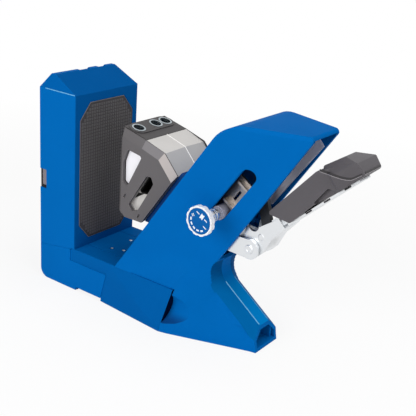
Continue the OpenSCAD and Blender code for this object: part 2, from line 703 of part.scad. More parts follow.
// Handle: folded bracket, grip and the strip along the grip's underside
neck_dir = polar(1, 47.5);
neck_out = [-neck_dir[1], neck_dir[0]];
bracket_outline = outline([[pivot[0] + 3, pivot[1] - ear_r, 3], [184, 88.5, 3], [190.3, 102, 4],
    [201.5, 115.2, 0], [195.5, 121.5, 0], [179.1, 110, 1], [166, 107, 2], [pivot[0] - ear_r, pivot[1] + 3, 3],
    [pivot[0] - 7, pivot[1] - 7, 3]]);
web_outline = outline([[182, 90.5, 0], [184, 88.5, 0], [190.3, 102, 4], [201.5, 115.2, 0], [199.5, 117, 0],
    [188, 103.2, 4]]);
neck_low_pt = [197.8, 115];
module handle_bracket() {
    neck = [neck_low_pt, neck_low_pt + 26 * neck_dir, neck_low_pt + 26 * neck_dir + 9 * neck_out,
        neck_low_pt + 9 * neck_out - 6 * neck_dir];
    color(zinc) difference() {
        union() {
            both_slabs(bracket_out - bracket_t, bracket_out) polygon(bracket_outline);
            slab(-bracket_out, bracket_out) polygon(web_outline);
            slab(-bracket_out + bracket_t, bracket_out - bracket_t) polygon(neck);
        }
        cross_pin(pivot, pivot_r + pin_gap, -20, 20);
        cross_pin(crank_at, link_pin_r, -20, 20);
        cross_pin([173, 109.3], 5, -20, 20);
    }
}
grip_outline = outline([[184.2, 123.3, 2], [205.4, 121, 2], [224, 141.4, 30], [246, 159.5, 2], [240, 176, 0],
    [223.4, 168.6, 8]]);
recess_outline = outline([[220, 138, 1], [243, 157, 1], [234, 157.5, 2]]);
spine_strip = [[203, 117.2], [222.4, 135.5], [246, 157.5], [257.5, 168]];
module handle_grip() {
    color(dark_grey) difference() {
        union() {
            slab(-grip_half, grip_half) polygon(grip_outline);
            hull() {
                for (p = [[229, 171.5], [243.5, 181.5]]) cross_pin(p, 2.4, -8.5, 8.5, $fn = 24);
                for (p = [[238, 168], [255.5, 182]]) cross_pin(p, 1.5, -15, 15, $fn = 24);
                for (p = [[243.5, 161], [259.7, 176]]) cross_pin(p, 2.4, -13.5, 13.5, $fn = 24);
            }
        }
        both_slabs(grip_half - 4, grip_half + 6) polygon(recess_outline);
        slab(-bracket_out + bracket_t - seat_gap, bracket_out - bracket_t + seat_gap)
            polygon([neck_low_pt - seat_gap * neck_out - 10 * neck_dir,
                neck_low_pt - seat_gap * neck_out + 26.2 * neck_dir,
                neck_low_pt + (9 + seat_gap) * neck_out + 26.2 * neck_dir,
                neck_low_pt + (9 + seat_gap) * neck_out - 10 * neck_dir]);
        slab(-9, 9) polygon(strip_shape(2.2));
    }
}
function strip_shape(t) = concat([for (p = spine_strip) p],
    [for (i = [3:-1:0]) spine_strip[i] + t * neck_out]);
module grip_spine() {
    color(zinc) difference() {
        slab(-9 + seat_gap, 9 - seat_gap) polygon(strip_shape(2));
        for (k = [12, 31, 50, 66])
            translate([spine_strip[0][0], 0, spine_strip[0][1]]) rotate([0, -43.5, 0])
                translate([k, 0, 0]) cube([6, 3, 12], center = true);
    }
}

// Clamp force adjuster
stem_at = on_arm(slot_n, slot_s);
module shuttle_nut() {
    run = slot_w / 2 - run_gap;
    color([0.55, 0.56, 0.58]) difference() {
        union() {
            cross_pin(stem_at, run, -27, -16);
            cross_pin(stem_at, 5, -28.5, -26);
        }
        cross_pin(stem_at, 4 + pin_gap, -40, 0);
    }
}
module shuttle() {
    run = slot_w / 2 - run_gap;
    color(zinc) difference() {
        union() {
            arm_box(slot_n - run - 3, slot_n + run + 3, -16, -14, slot_s - 4, slot_s + 34);
            arm_box(slot_n - run, slot_n + run, -21.2, -14, slot_s + 8, slot_s + 10);
            arm_box(slot_n - run, slot_n + run, -21.2, -14, slot_s + 30, slot_s + 32);
        }
        cross_pin(stem_at, 4 + pin_gap, -40, 0);
        arm_box(slot_n - 1.2, slot_n + 1.2, -30, -10, slot_s + 13, slot_s + 23);
    }
}
rim_t = 6;
neck_y = knob_reach - rim_t;
module knob_stem() {
    color(zinc) difference() {
        union() {
            cross_pin(stem_at, 4, -neck_y - 3.2, -13);
            for (k = [0:2]) cross_pin(stem_at, 5.2, -neck_y + 5 + k * 3.6, -neck_y + 7.2 + k * 3.6);
        }
        cross_pin(stem_at, 1.5, -16, -10);
    }
}
scallops = 12;
dial_r = knob_r - 1.8;
module knob_rim() {
    color([0.93, 0.93, 0.95]) translate([stem_at[0], -neck_y, stem_at[1]]) rotate([90, 0, 0]) difference() {
        union() {
            translate([0, 0, 1.6]) cylinder(r = knob_r, h = rim_t - 1.6);
            cylinder(r1 = knob_r - 4, r2 = knob_r - 0.8, h = 1.6);
        }
        for (k = [0:scallops - 1]) rotate(k * 360 / scallops)
            translate([knob_r + 3.4, 0, -1]) cylinder(r = 4, h = rim_t + 2, $fn = 32);
        translate([0, 0, rim_t - 1.6]) cylinder(r = dial_r + 0.1, h = 3);
        translate([0, 0, -1]) cylinder(r = 4, h = 4.2);
    }
}
module knob_dial() {
    color(blue) translate([stem_at[0], -neck_y - rim_t + 1.6, stem_at[1]]) rotate([90, 0, 0])
        cylinder(r = dial_r, h = 1.2);
}

column_foot();
base_tray();
column_shell();
grip_pad();
column_clips();
arm_body();
guide_rails();
pivot_frame();
pivot_rivets();
base_screws();
guide_carriage();
carriage_keeper();
draw_bar();
guide_core();
chip_liners();
chip_pockets();
side_plate_near();
side_plate_far();
top_plate();
clamp_face();
bushing_a();
bushing_b();
bushing_c();
handle_bracket();
handle_grip();
grip_spine();
link_rivet();
pull_link();
link_pin();
shuttle();
shuttle_nut();
knob_stem();
knob_rim();
knob_dial();
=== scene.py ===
# %% [markdown]
# A pocket hole jig stands on the bench: a padded column, a tray, and a leaning arm that carries a
# drill guide block. This lesson dresses the exact solids: it rounds their moulded edges, adds the
# small forms that repeat, and gives every piece a finish made from nodes.
# The solids come in as a fixed frame.

# %% Load the fixed frame
import json
import math

import bmesh
import bpy
from mathutils import Matrix, Vector


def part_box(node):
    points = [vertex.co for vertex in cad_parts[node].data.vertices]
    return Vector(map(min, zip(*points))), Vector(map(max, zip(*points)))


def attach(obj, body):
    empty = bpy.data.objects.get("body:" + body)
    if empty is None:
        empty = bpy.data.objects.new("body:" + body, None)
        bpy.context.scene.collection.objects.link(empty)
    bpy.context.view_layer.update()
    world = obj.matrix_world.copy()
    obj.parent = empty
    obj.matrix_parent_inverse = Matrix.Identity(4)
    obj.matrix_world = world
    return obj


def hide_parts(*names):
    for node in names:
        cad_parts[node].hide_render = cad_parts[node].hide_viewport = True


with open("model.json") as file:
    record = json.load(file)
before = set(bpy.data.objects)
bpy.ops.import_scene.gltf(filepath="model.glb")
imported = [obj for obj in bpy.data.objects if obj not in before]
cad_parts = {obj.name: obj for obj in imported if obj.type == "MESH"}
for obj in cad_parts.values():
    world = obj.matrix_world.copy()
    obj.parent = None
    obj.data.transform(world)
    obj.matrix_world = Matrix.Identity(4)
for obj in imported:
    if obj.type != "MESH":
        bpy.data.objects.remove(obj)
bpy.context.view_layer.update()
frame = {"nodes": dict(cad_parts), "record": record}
MM = 0.001
BODY_OF = {node: body for body, nodes in frame["record"]["behaviour"]["bodies"].items() for node in nodes}

# %% [markdown]
# The camera looks from the right of the jig's side, a little above it, and is turned slightly about its
# own line of sight. Building its matrix from three angles keeps each of them readable, where a matrix
# of nine numbers would not be.

# %% Camera
AZIMUTH, ELEVATION, ROLL = (math.radians(a) for a in (35.3, 21.2, 4.2))
CAMERA_AT = Vector((488.9, -522.9, 354.1)) * MM
FOCAL_PIXELS, IMAGE_PIXELS, SENSOR_MM, NEAREST = 808.4, 416, 36.0, 0.01


def camera_axes(azimuth, elevation, roll):
    """The camera's right, up and back directions."""
    back = Vector((math.sin(azimuth) * math.cos(elevation), -math.cos(azimuth) * math.cos(elevation),
                   math.sin(elevation)))
    level = Vector((math.cos(azimuth), math.sin(azimuth), 0))
    upright = back.cross(level)
    right = level * math.cos(roll) + upright * math.sin(roll)
    return right, back.cross(right), back


camera_data = bpy.data.cameras.new("photo_camera")
camera_data.sensor_width = SENSOR_MM
camera_data.lens = FOCAL_PIXELS / IMAGE_PIXELS * SENSOR_MM
camera_data.clip_start = NEAREST
camera = bpy.data.objects.new("photo_camera", camera_data)
bpy.context.collection.objects.link(camera)
placed = Matrix([list(axis) for axis in camera_axes(AZIMUTH, ELEVATION, ROLL)]).transposed().to_4x4()
placed.translation = CAMERA_AT
camera.matrix_world = placed
bpy.context.scene.camera = camera
bpy.context.scene.view_settings.view_transform = "Standard"
print("lens", round(camera_data.lens, 1), "mm")

# %% [markdown]
# The light is a studio's: a broad lamp at the near side, a weaker one from the handle's side and one
# overhead. Small lamps would cast hard shadows, so all three are wide area lamps aimed at the jig's
# middle.

# %% Lamps
# Each lamp: its place and width in metres, and its watts
LAMPS = {
    "key_panel": ((-0.1, -1.5, 0.7), 1.0, 14.5),
    "side_panel": ((1.35, -0.5, 0.7), 0.9, 4.5),
    "top_panel": ((0.6, 0.1, 1.65), 1.2, 13.0),
}
AIM = Vector((0.11, 0, 0.09))


def add_lamp(name, place, width, watts):
    data = bpy.data.lights.new(name, "AREA")
    data.size = width
    data.energy = watts
    lamp = bpy.data.objects.new(name, data)
    lamp.location = place
    lamp.rotation_euler = (AIM - Vector(place)).to_track_quat("-Z", "Y").to_euler()
    bpy.context.collection.objects.link(lamp)


for lamp_name, lamp_values in LAMPS.items():
    add_lamp(lamp_name, *lamp_values)
print("lamps:", ", ".join(LAMPS))

# %% [markdown]
# The room round the jig is white. A world bright enough to look white would flatten the jig, so the
# world is plain white to the camera and in reflections only, and lights the jig with a weaker strength.

# %% World
ROOM_STRENGTH, WHITE = 0.26, (1, 1, 1, 1)


def white_to_the_eye(tree, plain_shader, white_shader):
    """Mixes to the white shader on camera, mirror and see-through rays."""
    rays = tree.nodes.new("ShaderNodeLightPath")
    seen = tree.nodes.new("ShaderNodeMath")
    seen.operation = "MAXIMUM"
    seen_more = tree.nodes.new("ShaderNodeMath")
    seen_more.operation = "MAXIMUM"
    mix = tree.nodes.new("ShaderNodeMixShader")
    tree.links.new(rays.outputs["Is Camera Ray"], seen.inputs[0])
    tree.links.new(rays.outputs["Is Glossy Ray"], seen.inputs[1])
    tree.links.new(seen.outputs[0], seen_more.inputs[0])
    tree.links.new(rays.outputs["Is Transmission Ray"], seen_more.inputs[1])
    tree.links.new(seen_more.outputs[0], mix.inputs["Fac"])
    tree.links.new(plain_shader.outputs[0], mix.inputs[1])
    tree.links.new(white_shader.outputs[0], mix.inputs[2])
    return mix


world = bpy.data.worlds.new("pale_room")
world.use_nodes = True
bpy.context.scene.world = world
room = world.node_tree
room_light = room.nodes["Background"]
room_light.inputs["Color"].default_value = WHITE
room_light.inputs["Strength"].default_value = ROOM_STRENGTH
room_white = room.nodes.new("ShaderNodeBackground")
room_white.inputs["Color"].default_value = WHITE
room_white.inputs["Strength"].default_value = 1.0
room.links.new(white_to_the_eye(room, room_light, room_white).outputs[0],
               room.nodes["World Output"].inputs["Surface"])
print("room strength:", ROOM_STRENGTH)

# %% [markdown]
# The bench is white too, with a soft share of the jig's shadow on it. A lit plane would show a grey edge
# against the room, so the same mix makes it white to the camera, and the share of its lit surface fades
# with the distance from the middle.

# %% Floor
FLOOR_HALF, FLOOR_DROP = 3.0, 0.0004
BENCH_TONE, BENCH_ROUGHNESS = (0.93, 0.93, 0.93, 1), 0.9
# The share of the shadow that is left near the jig, and how far from its middle the fade starts and ends
SHADOW_LEFT, SHADOW_FROM, SHADOW_END = 0.14, 0.3, 0.7
floor_mesh = bpy.data.meshes.new("bench_top")
floor_mesh.from_pydata([(x * FLOOR_HALF, y * FLOOR_HALF, -FLOOR_DROP) for x, y in
                        ((-1, -1), (1, -1), (1, 1), (-1, 1))], [], [(0, 1, 2, 3)])
floor = bpy.data.objects.new("bench_top", floor_mesh)
bpy.context.collection.objects.link(floor)
floor_finish = bpy.data.materials.new("pale_bench")
floor_finish.use_nodes = True
bench = floor_finish.node_tree
bench_shader = bench.nodes["Principled BSDF"]
bench_shader.inputs["Base Color"].default_value = BENCH_TONE
bench_shader.inputs["Roughness"].default_value = BENCH_ROUGHNESS
bench_white = bench.nodes.new("ShaderNodeEmission")
bench_white.inputs["Strength"].default_value = 1.0
bench_part_white = bench.nodes.new("ShaderNodeMixShader")
bench_place = bench.nodes.new("ShaderNodeTexCoord")
bench_reach = bench.nodes.new("ShaderNodeVectorMath")
bench_reach.operation = "LENGTH"
bench_fade = bench.nodes.new("ShaderNodeMapRange")
for socket_name, value in (("From Min", SHADOW_FROM), ("From Max", SHADOW_END),
                           ("To Min", SHADOW_LEFT), ("To Max", 0)):
    bench_fade.inputs[socket_name].default_value = value
bench.links.new(bench_place.outputs["Object"], bench_reach.inputs[0])
bench.links.new(bench_reach.outputs["Value"], bench_fade.inputs["Value"])
bench.links.new(bench_fade.outputs["Result"], bench_part_white.inputs["Fac"])
bench.links.new(bench_white.outputs[0], bench_part_white.inputs[1])
bench.links.new(bench_shader.outputs[0], bench_part_white.inputs[2])
bench.links.new(white_to_the_eye(bench, bench_shader, bench_part_white).outputs[0],
                bench.nodes["Material Output"].inputs["Surface"])
floor_mesh.materials.append(floor_finish)
print("floor:", floor.name, "half width", FLOOR_HALF, "m")

# %% [markdown]
# Moulded plastic is never one flat colour: it has a fine grain from the mould, slow changes of tone,
# and shine that varies a little. One shader group makes all three from noise, and each finish places
# it with its own values. Its outputs are a colour, a roughness and a height for a bump.

# %% Grain group
def new_socket(group, name, kind, direction="INPUT"):
    return group.interface.new_socket(name=name, in_out=direction, socket_type=kind)


def build_grain_group():
    """The shader group that every finish shares."""
    group = bpy.data.node_groups.new("surface_grain", "ShaderNodeTree")
    new_socket(group, "Place", "NodeSocketVector")
    for name in ("Tone", "Low tone"):
        new_socket(group, name, "NodeSocketColor")
    for name in ("Grain scale", "Tone scale", "Roughness", "Roughness spread"):
        new_socket(group, name, "NodeSocketFloat")
    new_socket(group, "Colour", "NodeSocketColor", "OUTPUT")
    new_socket(group, "Shine", "NodeSocketFloat", "OUTPUT")
    new_socket(group, "Height", "NodeSocketFloat", "OUTPUT")
    start = group.nodes.new("NodeGroupInput")
    end = group.nodes.new("NodeGroupOutput")
    fine = group.nodes.new("ShaderNodeTexNoise")
    fine.inputs["Detail"].default_value = 3
    slow = group.nodes.new("ShaderNodeTexNoise")
    slow.inputs["Detail"].default_value = 4
    mix = group.nodes.new("ShaderNodeMix")
    mix.data_type = "RGBA"
    spread = group.nodes.new("ShaderNodeMath")
    spread.operation = "MULTIPLY_ADD"
    link = group.links.new
    link(start.outputs["Place"], fine.inputs["Vector"])
    link(start.outputs["Grain scale"], fine.inputs["Scale"])
    link(start.outputs["Place"], slow.inputs["Vector"])
    link(start.outputs["Tone scale"], slow.inputs["Scale"])
    # A Mix node keeps its colours in inputs 6 and 7 and in output 2
    link(slow.outputs["Fac"], mix.inputs[0])
    link(start.outputs["Tone"], mix.inputs[6])
    link(start.outputs["Low tone"], mix.inputs[7])
    link(slow.outputs["Fac"], spread.inputs[0])
    link(start.outputs["Roughness spread"], spread.inputs[1])
    link(start.outputs["Roughness"], spread.inputs[2])
    link(mix.outputs[2], end.inputs["Colour"])
    link(spread.outputs[0], end.inputs["Shine"])
    link(fine.outputs["Fac"], end.inputs["Height"])
    return group


GRAIN = build_grain_group()
print("group:", GRAIN.name)

# %% [markdown]
# A finish is one material: the grain group feeds the colour, the roughness and the bump of a Principled
# shader. It takes Object coordinates, which keep the grain at its size in millimetres on every piece
# and need no unwrapping. Colours are written in screen values, because those are easy to judge, and one
# helper turns them to linear ones.

# %% Helper for finishes
TONE_SCALE, GRAIN_DEPTH = 22, 0.1 * MM


def srgb(red, green, blue):
    """A colour in screen values, 0 to 255, as the linear values that shaders use."""
    return tuple((c / 255 / 12.92) if c <= 10 else ((c / 255 + 0.055) / 1.055) ** 2.4
                 for c in (red, green, blue)) + (1.0,)


def grained(name, tone, low_tone, roughness, grain_mm, bump, metal=0.0, spread=0.1, gloss=0.5):
    """A finish: the grain group on Object coordinates, with a bump grain_mm across."""
    material = bpy.data.materials.new(name)
    material.use_nodes = True
    tree = material.node_tree
    shader = tree.nodes["Principled BSDF"]
    shader.inputs["Metallic"].default_value = metal
    shader.inputs["Specular IOR Level"].default_value = gloss
    coords = tree.nodes.new("ShaderNodeTexCoord")
    grain = tree.nodes.new("ShaderNodeGroup")
    grain.node_tree = GRAIN
    grain.inputs["Tone"].default_value = tone
    grain.inputs["Low tone"].default_value = low_tone
    grain.inputs["Grain scale"].default_value = 1 / (grain_mm * MM)
    grain.inputs["Tone scale"].default_value = TONE_SCALE
    grain.inputs["Roughness"].default_value = roughness - spread / 2
    grain.inputs["Roughness spread"].default_value = spread
    height = tree.nodes.new("ShaderNodeBump")
    height.inputs["Strength"].default_value = bump
    height.inputs["Distance"].default_value = GRAIN_DEPTH
    tree.links.new(coords.outputs["Object"], grain.inputs["Place"])
    tree.links.new(grain.outputs["Colour"], shader.inputs["Base Color"])
    tree.links.new(grain.outputs["Shine"], shader.inputs["Roughness"])
    tree.links.new(grain.outputs["Height"], height.inputs["Height"])
    tree.links.new(height.outputs["Normal"], shader.inputs["Normal"])
    return material


# %% [markdown]
# The jig has blue mouldings, grey and black plastics, a rubber pad, a casting, and plated, worn and dark
# steels. Each finish is named for its piece or its place. Facets that the eye parts by their tone, such
# as the foot's ridge, have a finish of their own, which paints their light or shade.

# %% Finishes
FINISH = {
    "blue_plastic": grained("blue_moulding", srgb(0, 102, 180), srgb(0, 96, 171), 0.55, 0.8, 0.2, gloss=0.01),
    "tray_blue": grained("tray_moulding", srgb(0, 93, 166), srgb(0, 87, 157), 0.55, 0.8, 0.2, gloss=0.01),
    # Painted shade: the carriage's blue is darkened for the shade of its recess behind the plates
    "carriage_shade_blue": grained("carriage_painted_shade", srgb(4, 60, 120), srgb(2, 52, 108), 0.5, 0.8, 0.2, gloss=0.1),
    "latch_plastic": grained("latch_moulding", srgb(132, 124, 128), srgb(118, 111, 115), 0.5, 0.8, 0.2,
                             gloss=0.2),
    "worn_steel": grained("worn_steel", srgb(196, 189, 182), srgb(168, 161, 155), 0.34, 0.9, 0.2, 1.0, 0.2),
    # Painted light: the rails are paler than their grey moulding, standing in for light in the arm's shaded
    # channel
    "rails_painted_light": grained("rail_moulding_painted_light", srgb(236, 234, 244), srgb(226, 224, 236), 0.5, 0.8, 0.2),
    "dark_steel": grained("dark_steel", srgb(60, 63, 68), srgb(46, 49, 54), 0.42, 0.8, 0.15, 0.6),
    "pad_rubber": grained("pad_rubber", srgb(68, 66, 68), srgb(58, 56, 58), 0.8, 0.7, 0.4, gloss=0.25),
    "pad_studs": grained("pad_stud_rubber", srgb(86, 84, 86), srgb(74, 72, 74), 0.6, 0.7, 0.3, gloss=0.35),
    # Painted highlight on the pad's bevelled lip
    "pad_lip_highlight": grained("pad_lip_highlight", srgb(126, 122, 124), srgb(112, 108, 110), 0.5, 0.7, 0.2, gloss=0.4),
    "clip_plastic": grained("grey_moulding", srgb(160, 160, 174), srgb(140, 140, 154), 0.5, 0.8, 0.2),
    "zinc_steel": grained("zinc_plate", srgb(236, 238, 240), srgb(214, 217, 220), 0.3, 0.9, 0.12, 1.0, 0.16),
    "guide_casting": grained("guide_casting", srgb(206, 203, 200), srgb(188, 186, 184), 0.5, 0.8, 0.4, 0.6),
    "dark_plastic": grained("dark_moulding", srgb(98, 95, 97), srgb(84, 81, 83), 0.5, 0.7, 0.35, gloss=0.3),
    # Painted highlight on the side plates' broad bevels
    "plate_bevel_highlight": grained("plate_bevel_highlight", srgb(146, 142, 146), srgb(130, 126, 130), 0.45, 0.7, 0.3,
                           gloss=0.4),
    "cap_plastic": grained("cap_moulding", srgb(74, 71, 72), srgb(62, 60, 61), 0.55, 0.7, 0.35, gloss=0.3),
    "bushing_steel": grained("bushing_steel", srgb(190, 198, 202), srgb(150, 160, 166), 0.28, 0.9, 0.12,
                             1.0, 0.16),
    # Painted highlight on the foot's ridge and painted shade on its bevels
    "foot_ridge": grained("foot_ridge", srgb(0, 130, 206), srgb(0, 123, 197), 0.5, 0.8, 0.2, gloss=0.01),
    "foot_bevel_shade": grained("foot_bevel_shade", srgb(0, 99, 165), srgb(0, 93, 157), 0.55, 0.8, 0.2, gloss=0.01),
    # Painted shade on the column's front and above the fold of its sides
    "column_front_shade": grained("column_front_shade", srgb(2, 88, 158), srgb(1, 82, 150), 0.55, 0.8, 0.2, gloss=0.01),
    "column_side_fold_shade": grained("column_side_fold_shade", srgb(0, 102, 180), srgb(0, 96, 171), 0.55, 0.8, 0.2, gloss=0.01),
    # Painted shade in the finger scoops and on the tray's end between them
    "scoop_shade": grained("scoop_shade", srgb(10, 66, 128), srgb(8, 61, 121), 0.55, 0.8, 0.2, gloss=0.01),
    "tray_end_shade": grained("tray_end_shade", srgb(4, 18, 48), srgb(3, 14, 40), 0.6, 0.8, 0.2, gloss=0.01),
    # Painted highlight for the strips along the column's fold and the foot's ridge
    "foot_edge_highlight": grained("foot_edge_highlight", srgb(112, 182, 224), srgb(104, 174, 218), 0.45, 0.8, 0.1, gloss=0.1),
    # Painted shade, painted grey and painted highlight for the three runs of those bevels
    "bevel_painted_shade": grained("bevel_painted_shade", srgb(92, 89, 91), srgb(82, 79, 81), 0.5, 0.7, 0.3, gloss=0.3),
    "bevel_painted_grey": grained("bevel_painted_grey", srgb(118, 115, 118), srgb(106, 103, 106), 0.45, 0.7, 0.3, gloss=0.35),
    "bevel_painted_highlight": grained("bevel_painted_highlight", srgb(178, 170, 167), srgb(164, 157, 155), 0.45, 0.7, 0.3, gloss=0.4),
    # Painted shade on the lower facets of the guide casting
    "core_low_shade": grained("core_low_shade", srgb(180, 179, 179), srgb(156, 155, 156), 0.55, 0.7, 0.6, 0.6),
    # Painted highlight on the bead along the guide casting's ridge
    "core_ridge_highlight": grained("core_ridge_highlight", srgb(244, 242, 240), srgb(232, 230, 228), 0.4, 0.8, 0.1, 0.4),
    "liner_plastic": grained("pale_liner", srgb(246, 245, 249), srgb(238, 237, 243), 0.5, 0.8, 0.1,
                             gloss=0.3),
    "pocket_plastic": grained("black_cup", srgb(14, 14, 15), srgb(9, 9, 10), 0.6, 0.8, 0.1, gloss=0.2),
    # Painted highlight for the grip's lip and painted shade for its step and slots
    "grip_lip_highlight": grained("grip_lip_highlight", srgb(150, 146, 150), srgb(136, 132, 136), 0.4, 0.7, 0.2, gloss=0.4),
    "grip_shade": grained("grip_shade", srgb(52, 50, 52), srgb(44, 42, 44), 0.5, 0.7, 0.2, gloss=0.3),
    "grip_plastic": grained("grip_moulding", srgb(88, 85, 89), srgb(76, 73, 77), 0.48, 0.7, 0.35, gloss=0.3),
    "knob_rim": grained("white_rim", srgb(240, 241, 244), srgb(228, 230, 234), 0.35, 0.8, 0.1),
    "knob_dial": grained("dial_blue", srgb(2, 92, 164), srgb(0, 86, 155), 0.42, 0.8, 0.15, gloss=0.06),
}
print("finishes:", ", ".join(FINISH))

# %% [markdown]
# Real mouldings and folded steel have small round edges that catch the light, while the solids are exact
# and sharp. Tables give each solid that shows its radius in millimetres, its finish where that differs
# from its slot, and the finish of its broad bevels.

# %% Edges and finishes of the solids
EDGE_MM = {
    "column_shell": 1.2, "column_foot": 0.9, "base_tray": 0.6, "arm_body": 0.9, "grip_pad": 0.4,
    "guide_carriage": 0.5, "guide_core": 0.5, "side_plate_near": 0.5, "side_plate_far": 0.5,
    "top_plate": 0.8, "clamp_face": 0.6, "handle_bracket": 0.4, "handle_grip": 1.0, "grip_spine": 0.3,
    "pivot_frame": 0.4, "pivot_rivets": 0.3, "knob_rim": 0.5, "knob_dial": 0.2, "knob_stem": 0.25,
    "chip_liners": 0.15, "chip_pockets": 0.2, "bushing_a": 0.3, "bushing_b": 0.3, "bushing_c": 0.3,
    "shuttle": 0.3, "shuttle_nut": 0.3,
}
SLOT_OF = {entry["node"]: entry["material_slot"] for entry in frame["record"]["subparts"]}
# The carriage's finish is darkened with painted shade and the rails' finish is paled with painted light
FINISH_OF = SLOT_OF | {
    "guide_carriage": "carriage_shade_blue", "guide_rails": "rails_painted_light", "carriage_keeper": "dark_steel",
    "base_tray": "tray_blue", "column_clips": "latch_plastic", "shuttle": "worn_steel",
    "top_plate": "cap_plastic", "clamp_face": "cap_plastic", "bushing_a": "bushing_steel",
    "bushing_b": "bushing_steel", "bushing_c": "bushing_steel",
}
# Faces that lean this much from an axis take a finish with painted light or shade: finish, axis, least
# and most share
BROAD_BEVEL = {
    "side_plate_near": ("plate_bevel_highlight", 1, 0.85, 0.97), "side_plate_far": ("plate_bevel_highlight", 1, 0.85, 0.97),
    "grip_pad": ("pad_lip_highlight", 0, 0.2, 0.97), "guide_core": ("core_low_shade", 2, 0.5, 0.8),
}
print("solids with soft edges:", len(EDGE_MM))

# %% [markdown]
# The foot's bevels start at its ridge and fall away to a crease along each side. In the exact solid the
# corners along a crease wander a little, which a rounded edge would show as a wave. Moving them along
# the bevel into one line keeps the bevel flat, where smoothing would bend it.

# %% Creases of the foot
RIDGE_HALF, BEVEL_FALL, CREASE_HALF = 6.5 * MM, 0.68, 16.9 * MM
FOOT_TOP, RAMP = Vector((185.5, 0, 20.8)) * MM, math.radians(36)
RAMP_OUT = Vector((math.sin(RAMP), 0, math.cos(RAMP)))
CREASE_FROM, CREASE_TO = 144.5 * MM, 181 * MM
CREASE_LEAST, CREASE_WITHIN = 10 * MM, 0.03 * MM


def even_creases(work):
    """Brings the corners along the foot's two creases into one straight line on the bevel."""
    for corner in work.verts:
        half = abs(corner.co.y)
        fall = (FOOT_TOP - corner.co).dot(RAMP_OUT) - (half - RIDGE_HALF) * BEVEL_FALL
        if CREASE_FROM < corner.co.x < CREASE_TO and half > CREASE_LEAST and abs(fall) < CREASE_WITHIN:
            shift = CREASE_HALF - half
            corner.co -= RAMP_OUT * (shift * BEVEL_FALL)
            corner.co.y = math.copysign(CREASE_HALF, corner.co.y)


print("creases", round(CREASE_HALF / MM, 1), "mm from the middle")

# %% [markdown]
# A copy of each solid is merged, its flat faces are joined, and a Bevel modifier rounds the edges. The
# faces are joined first, because the narrow triangles of an exact solid would hold the rounding back.
# The result is kept as a plain mesh, so that single faces can take a finish later. The copy stands for
# the solid and rides on the same body.

# %% Rounded copies of the solids
SMOOTH_ANGLE, FLAT_WITHIN, MERGE_WITHIN = math.radians(25), math.radians(0.6), 0.002 * MM
EDGE_STEPS = 2


def plain_mesh(piece):
    """Turns a piece and its modifiers into one plain mesh."""
    shown = piece.evaluated_get(bpy.context.evaluated_depsgraph_get())
    mesh = bpy.data.meshes.new_from_object(shown)
    piece.modifiers.clear()
    piece.data = mesh


def rounded_copy(node, edge_mm):
    """A merged copy of a solid with soft edges, which stands for it."""
    mesh = frame["nodes"][node].data.copy()
    mesh.materials.clear()
    work = bmesh.new()
    work.from_mesh(mesh)
    bmesh.ops.remove_doubles(work, verts=work.verts, dist=MERGE_WITHIN)
    bmesh.ops.dissolve_limit(work, angle_limit=FLAT_WITHIN, verts=work.verts, edges=work.edges)
    if node == "arm_body":
        even_creases(work)
    work.to_mesh(mesh)
    work.free()
    mesh.shade_smooth()
    mesh.set_sharp_from_angle(angle=SMOOTH_ANGLE)
    piece = bpy.data.objects.new(node + "_skin", mesh)
    bpy.context.collection.objects.link(piece)
    mesh.materials.append(FINISH[FINISH_OF[node]])
    if edge_mm:
        bevel = piece.modifiers.new("soft_edges", "BEVEL")
        bevel.width = edge_mm * MM
        bevel.segments = EDGE_STEPS
        bevel.limit_method = "ANGLE"
        bevel.angle_limit = SMOOTH_ANGLE
        bevel.harden_normals = True
        plain_mesh(piece)
    if node in BROAD_BEVEL:
        finish, axis, least, most = BROAD_BEVEL[node]
        piece.data.materials.append(FINISH[finish])
        for face in piece.data.polygons:
            face.material_index = int(least < abs(face.normal[axis]) < most)
    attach(piece, BODY_OF[node])
    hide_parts(node)
    return piece


skins = {node: rounded_copy(node, EDGE_MM.get(node, 0)) for node in BODY_OF}
print("rounded copies:", len(skins))

# %% [markdown]
# The foot's top is a narrow ridge between two bevels. Its straight lower run has a painted highlight and is
# paler than the arm, the bevels have painted shade and are duller, and both fade into the arm's blue where
# the spine curves upwards. The finger scoops have painted shade, darkest low down, and the tray's end between
# them is painted nearly black as shade. Separate pieces would leave joints, so faces of the copies take these
# finishes, and those of the arm fade with height.

# %% Painted light and shade on the foot, the finger scoops and the tray's end
RIDGE_FADE, BEVEL_FADE, SCOOP_FADE = (43, 54), (40, 58), (10.5, 20)
SCOOP_AXIS, SCOOP_R, SCOOP_WITHIN = Vector((49.5, 24)) * MM, 16 * MM, 0.4 * MM
TRAY_END = 100 * MM
FOOT_FROM, FOOT_TO, FOOT_HIGH = 137 * MM, 184.6 * MM, 71 * MM
# Shares of a face's normal that tell one facet from the next
SCOOP_MOST_X, FOOT_LEAST_X, END_LEAST_X = 0.3, 0.35, 0.9
RIDGE_MOST_Y, BEVEL_LEAST_Y, BEVEL_MOST_Y = 0.1, 0.02, 0.75


